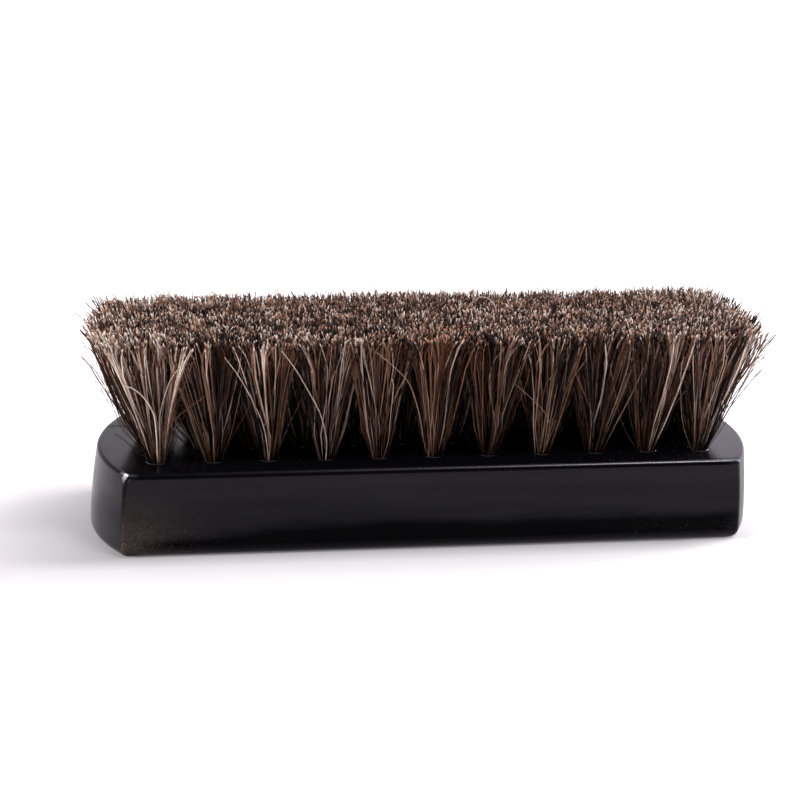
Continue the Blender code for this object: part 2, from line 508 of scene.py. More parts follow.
@dataclass(frozen=True)
class Wear:
    """Where the lacquer is thin and the brown wood shows, low at the left end of the long sides."""

    left: Run = Run(-0.62, -0.98)
    down: Run = Run(0.98, 0.06)
    cloud: Noise = Noise(55.0, 7.0, 0.6)
    cloud_level: Run = Run(0.25, 0.75, (0.72, 1.05))
    grit: Noise = Noise(900.0, 2.0)
    grit_gain: Run = Run(0.35, 0.65, (0.75, 1.25))

    def build(self, surface: Surface) -> Socket:
        """The wear, from 0 to 1.

        Args:
            surface: The places on the block.

        Returns:
            The wear's socket.
        """
        nodes = surface.nodes
        cloud = nodes.level(nodes.noise(surface.place, self.cloud), self.cloud_level)
        grit = nodes.level(nodes.noise(surface.place, self.grit), self.grit_gain)
        where = nodes.product(surface.on_side, surface.along(self.left), surface.up(self.down))
        return nodes.product(where, nodes.product(cloud, grit))


@dataclass(frozen=True)
class Specks:
    """Small light specks of dust: low on the long sides towards both ends, and on the bristle face."""

    fineness: float = 2500.0
    size: Run = Run(0.42, 0.12)
    ends: Run = Run(0.40, 0.85)
    down: Run = Run(0.60, 0.14)
    face_depth: Run = Run(0.2 * MM, 0.02 * MM)
    on_face: Run = Run(0.0, 0.6, (0.14, 0.22))
    rarity: Run = Run(0.0, 1.0, (0.997, 0.45))
    side_light: Run = Run(-0.92, -0.66, (0.75, 0.18))
    face_light: Run = Run(0.14, 0.22, (0.0, 0.9))

    def build(self, surface: Surface) -> Socket:
        """How strongly a speck shows, and 0 between the specks.

        Args:
            surface: The places on the block.

        Returns:
            The strength's socket.
        """
        nodes = surface.nodes
        cells = nodes.add("TexVoronoi", {"Vector": surface.place, "Scale": self.fineness})
        near = nodes.level(cells.outputs["Distance"], self.size)
        down = surface.up(self.down)
        many = nodes.product(surface.outwards(self.ends), surface.on_side, down, down)
        on_face = nodes.product(surface.below(self.face_depth), surface.along(self.on_face))
        rarity = nodes.level(nodes.math("MAXIMUM", many, on_face), self.rarity)
        chosen = nodes.math("GREATER_THAN", nodes.chance(cells.outputs["Position"]), rarity)
        on_face_light = nodes.level(on_face, self.face_light)
        light = nodes.math("MAXIMUM", surface.along(self.side_light), on_face_light)
        return nodes.product(near, nodes.chance(cells.outputs["Color"]), light, chosen)


@dataclass(frozen=True)
class Lacquer:
    """Black lacquer on wood: a rich gloss with a faint swell, specks of dust, and thin brown places.

    A darker band low on the long sides is painted shade.
    """

    black: tuple = (0.0043, 0.0042, 0.0062, 1.0)
    worn: tuple = (0.068, 0.052, 0.042, 1.0)
    # Painted shade: the colour of the darker band low on the long sides.
    painted_band_shade: tuple = (0.0015, 0.0014, 0.0016, 1.0)
    speck: tuple = (0.30, 0.25, 0.21, 1.0)
    tint: tuple = (0.93, 0.90, 1.0, 1.0)
    cloud: Noise = Noise(60.0, 4.0)
    roughness: Run = Run(0.3, 0.75, (0.16, 0.30))
    worn_roughness: float = 0.25
    grain: Noise = Noise((18.0, 420.0, 420.0), 5.0)
    grain_share: float = 0.45
    peel: Noise = Noise(190.0, 2.0)
    swell: float = 0.1 * MM
    swell_strength: float = 0.3
    gloss: Gloss = Gloss()
    # Painted shade: the darker band low on the long sides.
    band: PaintedShadeBand = PaintedShadeBand()
    wear: Wear = Wear()
    specks: Specks = Specks()

    def build(self, low: Vector, high: Vector) -> bpy.types.Material:
        """Build the material.

        Args:
            low: The block's lowest corner.
            high: The block's highest corner.

        Returns:
            The material.
        """
        nodes = NodeBuilder(bpy.data.materials.new("black_lacquer"))
        surface = Surface(nodes, low, high)
        band = self.band.build(surface)
        wear = self.wear.build(surface)
        # Painted shade: the band darkens the lacquer's colour.
        colour = nodes.mix(band, nodes.mix(wear, self.black, self.worn), self.painted_band_shade)
        cloud = nodes.level(nodes.noise(surface.place, self.cloud), self.roughness)
        grain = nodes.product(nodes.noise(surface.place, self.grain), self.grain_share)
        peel = nodes.product(nodes.noise(surface.place, self.peel), 1 - self.grain_share)
        height = nodes.math("ADD", grain, peel)
        relief = {"Strength": self.swell_strength, "Distance": self.swell, "Height": height}
        inputs = {
            "Base Color": nodes.mix(self.specks.build(surface), colour, self.speck),
            "Roughness": nodes.math("ADD", cloud, nodes.product(wear, self.worn_roughness)),
            "Specular IOR Level": self.gloss.build(surface, band),
            "Specular Tint": self.tint,
            "Normal": nodes.add("Bump", relief).outputs["Normal"],
        }
        nodes.put(nodes.shader, inputs)
        return nodes.owner


@dataclass(frozen=True)
class Horsehair:
    """Mixed horsehair: each hair has a tone of its own, dark at its root and paler up to its cut end.

    The dark root, a thin dark ring below the tip and the paler top are painted shade and light; the
    paler cut ends are partly the hairs' own.
    """

    tones: tuple = (
        (0.27, HairTone.SOOT.value),
        (0.35, HairTone.UMBER.value),
        (0.48, HairTone.UMBER.value),
        (0.56, HairTone.CHESTNUT.value),
        (0.655, HairTone.CHESTNUT.value),
        (0.69, HairTone.GINGER.value),
        (0.725, HairTone.DUN.value),
        (0.83, HairTone.DUN.value),
        (0.90, HairTone.PALE.value),
    )
    # Paler cut ends: partly the hairs' own cut ends, partly painted light from above.
    cut_and_lit_tones: tuple = (
        (0.22, (0.007, 0.004, 0.003)),
        (0.36, (0.130, 0.066, 0.046)),
        (0.55, (0.390, 0.212, 0.150)),
        (0.68, (0.740, 0.405, 0.275)),
        (0.76, (0.870, 0.595, 0.480)),
        (0.88, (1.000, 0.860, 0.780)),
    )
    # Painted shade and painted light along each hair: dark at the root and in a thin ring just below the
    # tip, lighter higher up and at the tip.
    levels: tuple = (
        (0.0, 0.48),
        (0.30, 0.66),
        (0.60, 0.86),
        (0.84, 1.30),
        (0.935, 1.2),
        (0.972, 0.45),
        (1.0, 1.4),
    )
    mottle: Noise = Noise((900.0, 900.0, 140.0), 3.0)
    mottle_step: Run = Run(0.28, 0.72)
    mottle_colour: tuple = (0.62, 0.56, 0.52, 1.0)
    cut: Run = Run(0.974, 0.992, (0.0, 0.62))
    roughness: float = 0.38
    shine: float = 0.12

    def build(self) -> bpy.types.Material:
        """Build the material, which reads each hair's own tone and the place along it.

        Returns:
            The material.
        """
        nodes = NodeBuilder(bpy.data.materials.new("horsehair"))
        tone, along, _ = nodes.axes(nodes.add("UVMap", uv_map=HAIR_MAP).outputs["UV"])
        base = nodes.ramp(tone, self.tones)
        place = nodes.add("TexCoord").outputs["Object"]
        mottle = nodes.level(nodes.noise(place, self.mottle), self.mottle_step)
        dark = nodes.mix(1.0, base, self.mottle_colour, multiply=True)
        # Painted shade and painted light along each hair.
        painted_shading = nodes.ramp(along, [(spot, (level,) * 3) for spot, level in self.levels])
        shaded = nodes.mix(1.0, nodes.mix(mottle, dark, base), painted_shading, multiply=True)
        cut_and_lit_ends = nodes.ramp(tone, self.cut_and_lit_tones)
        inputs = {
            "Base Color": nodes.mix(nodes.level(along, self.cut), shaded, cut_and_lit_ends),
            "Roughness": self.roughness,
            "Specular IOR Level": self.shine,
        }
        nodes.put(nodes.shader, inputs)
        return nodes.owner


@dataclass
class Block:
    """The one-piece wooden block: rounded edges, two sanded corners, and a blind hole for each tuft."""

    end_bulge: float = 7.0 * MM
    end_draw_in: float = 1.05 * MM
    left_swell: float = 1.05 * MM
    left_foot: float = 0.3 * MM
    right_foot: float = 2.1 * MM
    foot_height: float = 3.4 * MM
    back_round: float = 1.9 * MM
    face_round: float = 1.15 * MM
    corner_round: float = 1.2 * MM
    corner_ease: float = 2.4 * MM
    ease_height: float = 2.6 * MM
    hole_radius: float = 2.15 * MM
    hole_depth: float = 12.0 * MM
    cut_overrun: float = 1.5 * MM
    end_segments: int = 72
    round_segments: int = 8
    corner_segments: int = 8
    foot_segments: int = 5
    wall_segments: int = 8
    ease_segments: int = 5
    rim_round: float = 0.3 * MM
    rim_knee: float = 0.3
    sharp: float = math.radians(35)
    facet_depth: float = 0.47 * MM
    burr_radius: float = 0.14 * MM
    burr_sides: int = 6
    facet_tilt: tuple = (0.66, 0.66, 0.38)
    side_segments: int = 24
    hole_segments: int = 24
    finish: Lacquer = field(default_factory=Lacquer)

    def __post_init__(self) -> None:
        """Take the block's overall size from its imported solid."""
        self.low, self.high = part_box("block")
        self.length = self.high.x - self.low.x
        self.width = self.high.y - self.low.y
        self.height = self.high.z - self.low.z

    def outline(self, inset: float, draw_in: float, height: float) -> Points:
        """The plan outline, anticlockwise from the right end's front corner.

        Args:
            inset: How far the whole outline is moved inwards.
            draw_in: How far the two bowed ends are moved inwards besides.
            height: The height at which it lies, because the corners are eased near the top.

        Returns:
            The outline's points.
        """
        right, _ = self.half_outline(inset, draw_in + self.foot(height, self.right_foot), height)
        other, corner_x = self.half_outline(inset, draw_in + self.foot(height, self.left_foot), height)
        half = self.width / 2
        swell = self.left_swell * (1 - height / self.height)
        left = [(-x - (swell * (1 - (y / half) ** 2) if x > corner_x else 0), -y) for x, y in other]
        return right + left

    def half_outline(self, inset: float, draw_in: float, height: float) -> tuple[Points, float]:
        """The right end and the back side of the plan outline.

        Args:
            inset: How far the whole outline is moved inwards.
            draw_in: How far the bowed end is moved inwards besides.
            height: The height at which it lies.

        Returns:
            The points, and how far to the right the straight side ends.
        """
        half = self.width / 2
        eased = max(0.0, 1 - (self.height - height) / self.ease_height)
        small = self.corner_round + self.corner_ease * eased**2
        bow = (self.end_bulge**2 + half**2) / (2 * self.end_bulge)
        bow_x = self.length / 2 - bow - draw_in
        radius = bow - inset
        corner_y = half - inset - small
        corner_x = bow_x + math.sqrt((radius - small) ** 2 - corner_y**2)
        turn = math.atan2(corner_y, corner_x - bow_x)
        end = self.arc((corner_x, -corner_y), small, -math.pi / 2, -turn, self.corner_segments)[:-1]
        end += self.arc((bow_x, 0), radius, -turn, turn, self.end_segments)
        end += self.arc((corner_x, corner_y), small, turn, math.pi / 2, self.corner_segments)[1:]
        side = []
        for i in range(1, self.side_segments):
            side.append((corner_x * (1 - 2 * i / self.side_segments), half - inset))
        return end + side, corner_x

    def arc(self, centre: tuple, radius: float, start: float, end: float, segments: int) -> Points:
        """Points along an arc, both its ends included.

        Args:
            centre: The arc's centre.
            radius: Its radius.
            start: The angle at which it starts.
            end: The angle at which it ends.
            segments: How many straight pieces it is cut into.

        Returns:
            The points.
        """
        turns = np.linspace(start, end, segments + 1)
        return [(centre[0] + radius * math.cos(a), centre[1] + radius * math.sin(a)) for a in turns]

    def section(self) -> list[tuple[float, float, float]]:
        """The wall's section.

        Returns:
            (inset, draw in, height) from the back up to the bristle face.
        """
        steps = []
        for turn in np.linspace(0, math.pi / 2, self.round_segments + 1):
            height = self.back_round * (1 - math.cos(turn))
            steps.append((self.back_round * (1 - math.sin(turn)), 0.0, height))
        wall = self.height - self.back_round - self.face_round
        foot_to = (self.foot_height - self.back_round) / wall
        eased_from = 1 - (self.ease_height - self.face_round) / wall
        foot = np.linspace(0, foot_to, self.foot_segments + 1)[1:]
        plain = np.linspace(foot_to, eased_from, self.wall_segments + 1)[1:]
        eased = np.linspace(eased_from, 1, self.ease_segments + 1)[1:]
        for up in (*foot, *plain, *eased):
            height = self.back_round + wall * up
            steps.append((0.0, self.end_draw_in * up**2, height))
        for turn in np.linspace(0, math.pi / 2, self.round_segments + 1)[1:]:
            height = self.height - self.face_round * (1 - math.sin(turn))
            steps.append((self.face_round * (1 - math.cos(turn)), self.end_draw_in, height))
        return steps

    def foot(self, height: float, depth: float) -> float:
        """How far an end is rounded in at a height, besides the round that runs all the way about."""
        below = max(0.0, 1 - height / self.foot_height)
        return depth * (1 - math.sqrt(1 - below**2))

    def build(self, tufts: list["Tuft"]) -> bpy.types.Object:
        """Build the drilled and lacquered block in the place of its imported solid.

        Args:
            tufts: The tufts whose holes are drilled.

        Returns:
            The block's object.
        """
        bm = bmesh.new()
        rings = []
        for inset, draw_in, height in self.section():
            outline = self.outline(inset, draw_in, height)
            rings.append([bm.verts.new((x, y, self.low.z + height)) for x, y in outline])
        loft(bm, rings)
        self.cut_facets(bm)
        block = new_object("block_lacquered", bm)
        self.drill(block, tufts)
        self.raise_burrs(block, tufts)
        block.data.shade_smooth()
        block.data.set_sharp_from_angle(angle=self.sharp)
        block.data.materials.append(self.finish.build(self.low, self.high))
        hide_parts("block")
        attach(block, BODY)
        return block

    def cut_facets(self, bm: bmesh.types.BMesh) -> None:
        """Sand a small flat facet onto both corners at the left end of the bristle face.

        Args:
            bm: The block's closed mesh, which is changed.
        """
        along, across, up = self.facet_tilt
        for side in (-1, 1):
            tilt = Vector((-along, across * side, up)).normalized()
            touched = max(bm.verts, key=lambda vert: vert.co.dot(tilt)).co
            place = touched - tilt * self.facet_depth
            parts = [*bm.verts, *bm.edges, *bm.faces]
            cut = bmesh.ops.bisect_plane(bm, geom=parts, plane_co=place, plane_no=tilt, clear_outer=True)
            loop = [part for part in cut["geom_cut"] if isinstance(part, bmesh.types.BMEdge)]
            bmesh.ops.edgeloop_fill(bm, edges=loop)

    def drill(self, block: bpy.types.Object, tufts: list["Tuft"]) -> None:
        """Cut a leaning blind hole for every tuft.

        Args:
            block: The block's object, whose mesh is changed.
            tufts: The tufts whose holes are cut.
        """
        wide = self.hole_radius + self.rim_round
        profile = (
            (self.hole_radius, -self.hole_depth),
            (self.hole_radius, -self.rim_round),
            (wide - self.rim_knee * self.rim_round, -self.rim_knee * self.rim_round),
            (wide, 0.0),
            (wide, self.cut_overrun),
        )
        turns = 2 * math.pi * np.arange(self.hole_segments) / self.hole_segments
        bm = bmesh.new()
        for tuft in tufts:
            place = tuft.hole_frame()
            rings = []
            for radius, height in profile:
                spots = [Vector((radius * math.cos(a), radius * math.sin(a), height)) for a in turns]
                rings.append([bm.verts.new(place @ spot) for spot in spots])
            loft(bm, rings)
        cutter = new_object("hole_cutter", bm)
        cut = block.modifiers.new("holes", "BOOLEAN")
        cut.operation = "DIFFERENCE"
        cut.solver = "EXACT"
        cut.object = cutter
        bpy.context.view_layer.update()
        evaluated = block.evaluated_get(bpy.context.evaluated_depsgraph_get())
        drilled = bpy.data.meshes.new_from_object(evaluated)
        block.modifiers.clear()
        block.data = drilled
        bpy.data.objects.remove(cutter, do_unlink=True)

    def raise_burrs(self, block: bpy.types.Object, tufts: list["Tuft"]) -> None:
        """Raise a thin ring of lacquer round the mouth of every hole.

        Args:
            block: The block's object, whose mesh is changed.
            tufts: The tufts in the holes.
        """
        bm = bmesh.new()
        bm.from_mesh(block.data)
        turns = 2 * math.pi * np.arange(self.burr_sides) / self.burr_sides
        made = []
        for tuft in tufts:
            rings = []
            for spot in tuft.mouth(self.hole_radius + self.rim_round, self.hole_segments):
                out = Vector((spot.x - tuft.root[0], spot.y - tuft.root[1], 0)).normalized()
                around = [out * math.cos(a) + Vector((0, 0, math.sin(a))) for a in turns]
                rings.append([bm.verts.new(spot + to * self.burr_radius) for to in around])
            for ring, following in zip(rings, rings[1:] + rings[:1]):
                made += join_rings(bm, ring, following)
        bmesh.ops.recalc_face_normals(bm, faces=made)
        bm.to_mesh(block.data)
        bm.free()


@dataclass
class Tuft:
    """Where one tuft stands: its foot in the hole, its root at the bristle face, and its tips."""

    node: str
    face_z: float
    foot_share: float = 0.08
    tips_share: float = 0.9

    def __post_init__(self) -> None:
        """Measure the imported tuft."""
        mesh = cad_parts[self.node].data
        points = np.array([v.co for v in mesh.vertices])
        low, high = points[:, 2].min(), points[:, 2].max()
        heights = (points[:, 2] - low) / (high - low)
        foot = points[heights < self.foot_share]
        tips = points[heights > self.tips_share]
        self.foot = (foot.min(0) + foot.max(0)) / 2
        self.tip = (tips.min(0) + tips.max(0)) / 2
        self.tip[2] = tips[:, 2].mean()
        self.reach = (tips.max(0) - tips.min(0))[:2] / 2
        share = (self.face_z - self.foot[2]) / (self.tip[2] - self.foot[2])
        self.root = self.foot + (self.tip - self.foot) * share

    def hole_frame(self) -> Matrix:
        """The frame of the tuft's hole.

        Returns:
            Its origin lies on the bristle face and its Z runs up along the tuft.
        """
        axis = Vector(self.tip - self.root)
        turn = Vector((0, 0, 1)).rotation_difference(axis)
        return Matrix.Translation(Vector(self.root)) @ turn.to_matrix().to_4x4()

    def mouth(self, radius: float, segments: int) -> list[Vector]:
        """The edge of the leaning hole on the bristle face.

        Args:
            radius: The hole's radius.
            segments: How many points the edge has.

        Returns:
            The points.
        """
        place = self.hole_frame()
        axis = place.to_3x3().col[2]
        edge = []
        for turn in 2 * math.pi * np.arange(segments) / segments:
            spot = place @ Vector((radius * math.cos(turn), radius * math.sin(turn), 0))
            edge.append(spot + axis * ((self.face_z - spot.z) / axis.z))
        return edge


@dataclass
class HairMesh:
    """Gathers hairs as centre lines and turns them into one mesh of thin three-sided tubes."""

    sides: int = 3
    sharp: float = math.radians(130)
    aside: tuple = (0.31, 0.95, 0.05)
    bake_from: tuple = (0.06, 0.04)
    bake_room: tuple = (0.88, 0.92)
    cap_from: float = 0.3
    cap_room: float = 0.4
    cap_inset: float = 0.98
    cap_step: float = 0.01
    lines: list = field(default_factory=list)
    radii: list = field(default_factory=list)
    tones: list = field(default_factory=list)
    steps: list = field(default_factory=list)
    turns: list = field(default_factory=list)

    def add(
        self,
        lines: np.ndarray,
        radii: np.ndarray,
        tones: np.ndarray,
        steps: tuple,
        turns: np.ndarray | None = None,
    ) -> None:
        """Add hairs of as many points each.

        Args:
            lines: Centre lines, as hairs by points by 3.
            radii: Their radii, as hairs by points.
            tones: A tone from 0 to 1 for each hair.
            steps: The place of each point along its hair, from 0 to 1.
            turns: How each hair is turned about its own line, or None to leave that to chance later.
        """
        self.turns.extend([None] * len(lines) if turns is None else turns)
        self.steps.extend([steps] * len(lines))
        self.lines.extend(lines)
        self.radii.extend(radii)
        self.tones.extend(tones)

    def build(self, name: str, rng: np.random.Generator) -> bpy.types.Object:
        """Build the object.

        Args:
            name: The object's name.
            rng: Picks how each hair that isn't turned yet is turned about its own line.

        Returns:
            The object, with a map of each hair's tone and place along it, and one to bake through.
        """
        verts, faces, tone_uv, bake_uv = [], [], [], []
        (u_from, v_from), (u_room, v_room) = self.bake_from, self.bake_room
        columns = math.ceil(math.sqrt(len(self.lines)))
        rows = math.ceil(len(self.lines) / columns)
        start = 0
        for i, (line, radii, tone) in enumerate(zip(self.lines, self.radii, self.tones)):
            rings = len(line)
            turn = rng.uniform(0, 2 * math.pi) if self.turns[i] is None else self.turns[i]
            verts.append(self.tube(line, radii, turn))
            along = self.steps[i]
            cell = np.array([i % columns, i // columns]) / (columns, rows)
            room = np.array([1 / columns, 1 / rows])
            for ring in range(rings - 1):
                for side in range(self.sides):
                    a = start + ring * self.sides + side
                    b = start + ring * self.sides + (side + 1) % self.sides
                    faces.append((a, b, b + self.sides, a + self.sides))
                    low, high = along[ring], along[ring + 1]
                    left, right = side / self.sides, (side + 1) / self.sides
                    tone_uv += [(tone, low), (tone, low), (tone, high), (tone, high)]
                    for u, v in ((left, low), (right, low), (right, high), (left, high)):
                        bake_uv.append(cell + room * (u_from + u_room * u, v_from + v_room * v))
            for ring, order in ((0, range(self.sides - 1, -1, -1)), (rings - 1, range(self.sides))):
                faces.append(tuple(start + ring * self.sides + k for k in order))
                for k in order:
                    tone_uv.append((tone, along[ring]))
                    u = self.cap_from + self.cap_room * (k % 2)
                    v = v_from + v_room * along[ring] * self.cap_inset + self.cap_step * (k // 2)
                    bake_uv.append(cell + room * (u, v))
            start += rings * self.sides
        mesh = bpy.data.meshes.new(name)
        mesh.from_pydata(np.concatenate(verts).tolist(), [], faces)
        for map_name, coords in ((HAIR_MAP, tone_uv), (BAKE_MAP, bake_uv)):
            layer = mesh.uv_layers.new(name=map_name, do_init=False)
            layer.uv.foreach_set("vector", np.array(coords, np.float32).ravel())
        mesh.shade_smooth()
        mesh.set_sharp_from_angle(angle=self.sharp)
        return add_object(name, mesh)

    def tube(self, line: np.ndarray, radii: np.ndarray, turn: float) -> np.ndarray:
        """The vertices of one hair, ring by ring from its root.

        Args:
            line: The hair's centre line.
            radii: Its radius at each point.
            turn: The angle at which its first side starts.

        Returns:
            The vertices.
        """
        heading = np.gradient(line, axis=0)
        heading /= np.linalg.norm(heading, axis=1, keepdims=True)
        across = np.cross(heading, self.aside)
        across /= np.linalg.norm(across, axis=1, keepdims=True)
        beside = np.cross(heading, across)
        angles = (turn + 2 * math.pi * np.arange(self.sides) / self.sides)[None, :, None]
        ring = np.cos(angles) * across[:, None] + np.sin(angles) * beside[:, None]
        return (line[:, None] + ring * np.asarray(radii)[:, None, None]).reshape(-1, 3)


class Where(Enum):
    """The tufts in which a kind of hair grows."""

    ALL = "every tuft"
    BEHIND = "every tuft behind the front row"
    BACK_ROW = "the back row"
    ENDS = "the tufts near both ends"


FEW_STEPS = (0.0, 0.27, 0.53, 0.78, 0.92, 1.0)
MANY_STEPS = (0.0, 0.08, 0.17, 0.27, 0.38, 0.49, 0.60, 0.71, 0.81, 0.91, 1.0)


@dataclass(frozen=True)
class HairKind:
    """How one kind of hair is laid in a tuft: how many, how they cling together, and how they bend."""

    locks: int
    thin: float
    thick: float
    bow: float
    wave: float
    fewest: int = 1
    most: int = 1
    steps: tuple = FEW_STEPS
    bundle: float = 0.0
    tip_gap: float = 0.0
    short: float = 0.0
    spread: float = 1.0
    overshoot: float = 0.0
    darkest: float = 0.0
    palest: float = 1.0
    lean_share: float = 1.0
    field_share: float = 1.0
    rise: float = 0.0
    where: Where = Where.ALL


CLINGING = HairKind(
    locks=42,
    fewest=4,
    most=8,
    thin=0.095 * MM,
    thick=0.148 * MM,
    bow=0.75 * MM,
    wave=0.48 * MM,
    bundle=0.17 * MM,
    tip_gap=0.48 * MM,
)
SINGLE = HairKind(
    locks=118,
    thin=0.09 * MM,
    thick=0.20 * MM,
    bow=0.8 * MM,
    wave=0.52 * MM,
    short=0.05,
)
SPLAYED = HairKind(
    locks=24,
    fewest=3,
    most=5,
    thin=0.08 * MM,
    thick=0.14 * MM,
    bow=1.2 * MM,
    wave=0.7 * MM,
    bundle=0.5 * MM,
    tip_gap=0.6 * MM,
    # Painted shade: these hairs behind the front row are held darker.
    palest=0.5,
    lean_share=0.48,
    field_share=0.86,
    where=Where.BEHIND,
)
STRAY = HairKind(
    locks=8,
    steps=MANY_STEPS,
    thin=0.045 * MM,
    thick=0.08 * MM,
    bow=1.3 * MM,
    wave=0.6 * MM,
    spread=1.45,
    overshoot=2.6 * MM,
    darkest=0.40,
)
FRINGE = HairKind(
    locks=90,
    thin=0.04 * MM,
    thick=0.075 * MM,
    bow=1.0 * MM,
    wave=0.7 * MM,
    short=0.5,
    spread=1.35,
    overshoot=1.1 * MM,
    palest=0.55,
    where=Where.ENDS,
)
FUZZ = HairKind(
    locks=230,
    thin=0.04 * MM,
    thick=0.07 * MM,
    bow=0.8 * MM,
    wave=0.6 * MM,
    darkest=0.30,
    palest=0.80,
    rise=2.1 * MM,
    where=Where.BACK_ROW,
)


@dataclass(frozen=True)
class Wisp:
    """One hair that breaks away from its tuft, as points in millimetres from the tuft's root."""

    node: str
    points: tuple
    tone: float
    radius: float = 0.10 * MM
    samples: int = 5

    def line(self, root: np.ndarray) -> np.ndarray:
        """Run a smooth curve through the points.

        Args:
            root: The tuft's root.

        Returns:
            The hair's centre line.
        """
        knots = root + np.array(self.points) * MM
        knots = np.concatenate([2 * knots[:1] - knots[1:2], knots, 2 * knots[-1:] - knots[-2:-1]])
        line = []
        for before, start, end, after in zip(knots, knots[1:], knots[2:], knots[3:]):
            for t in np.arange(self.samples) / self.samples:
                pull = (end - before) * t + (2 * before - 5 * start + 4 * end - after) * t**2
                line.append(start + (pull + (3 * start - before - 3 * end + after) * t**3) / 2)
        return np.array([*line, knots[-2]])


ARCHED = Wisp(
    "tuft_front_01",
    (
        (0.2, -1.3, -1.0),
        (0.1, -3.9, 5.4),
        (-0.3, -6.0, 12.3),
        (-1.0, -6.8, 15.0),
        (-2.6, -7.7, 18.1),
        (-5.2, -8.5, 20.8),
        (-7.4, -8.8, 21.6),
    ),
    tone=1.0,
    radius=0.22 * MM,
)
BENT = Wisp(
    "tuft_front_01",
    (
        (0.6, -1.3, -1.0),
        (0.7, -4.6, 7.6),
        (0.8, -6.4, 13.6),
        (2.2, -8.2, 19.6),
        (3.7, -9.4, 23.6),
        (6.6, -10.6, 27.8),
    ),
    tone=0.93,
    radius=0.16 * MM,
)
CROSSING = Wisp(
    "tuft_front_01",
    ((0.2, -1.3, -1.0), (1.6, -4.9, 8.7), (5.4, -6.3, 13.5), (10.1, -7.5, 17.4), (12.9, -8.2, 19.8)),
    tone=0.62,
    radius=0.09 * MM,
)
LEANING_A = Wisp(
    "tuft_front_03",
    ((0.0, -1.4, -1.0), (-1.4, -5.0, 8.9), (-3.9, -7.0, 15.8), (-7.5, -9.3, 23.2), (-11.0, -10.9, 28.6)),
    tone=0.90,
    radius=0.12 * MM,
)
LEANING_B = Wisp(
    "tuft_front_04",
    (
        (0.0, -1.4, -1.0),
        (-0.1, -4.0, 5.7),
        (-1.8, -6.1, 12.7),
        (-4.4, -7.8, 18.2),
        (-8.1, -9.8, 25.0),
        (-11.5, -11.3, 30.0),
    ),
    tone=0.97,
    radius=0.15 * MM,
)
LEANING_C = Wisp(
    "tuft_front_06",
    (
        (-0.6, -1.3, -1.0),
        (-2.7, -3.4, 3.6),
        (-4.6, -5.9, 12.1),
        (-7.5, -8.4, 20.4),
        (-11.4, -9.8, 25.1),
        (-15.8, -11.1, 29.2),
    ),
    tone=0.84,
    radius=0.12 * MM,
)
HOOKED = Wisp(
    "tuft_front_08",
    ((-0.1, -1.4, -1.0), (0.9, -4.0, 5.6), (-0.1, -5.6, 11.0), (-4.9, -7.2, 16.3), (-9.0, -8.3, 20.1)),
    tone=0.80,
    radius=0.11 * MM,
)
LYING_A = Wisp(
    "tuft_mid_back_01",
    ((-0.2, 0.9, -1.0), (-1.6, 2.8, 0.7), (-3.9, 5.3, 0.2), (-8.2, 7.6, 0.15), (-11.5, 7.1, 0.15)),
    tone=0.05,
    radius=0.09 * MM,
)
LYING_B = Wisp(
    "tuft_front_01",
    (
        (-0.9, 0.6, -1.0),
        (-2.5, 2.0, 0.7),
        (-3.8, 4.2, 0.2),
        (-5.3, 9.2, 0.15),
        (-7.9, 17.0, 0.15),
        (-10.5, 22.6, 0.15),
    ),
    tone=0.05,
    radius=0.09 * MM,
)
LOOPED = Wisp(
    "tuft_mid_back_08",
    (
        (0.0, 0.0, -1.0),
        (-3.2, 0.3, 15.0),
        (-6.8, 0.6, 30.0),
        (-6.0, 0.8, 32.6),
        (-3.7, 0.8, 34.0),
        (-1.1, 0.8, 32.9),
        (0.4, 0.8, 30.2),
    ),
    tone=0.97,
    radius=0.14 * MM,
)


WISPS = (ARCHED, BENT, CROSSING, LEANING_A, LEANING_B, LEANING_C, HOOKED, LYING_A, LYING_B, LOOPED)


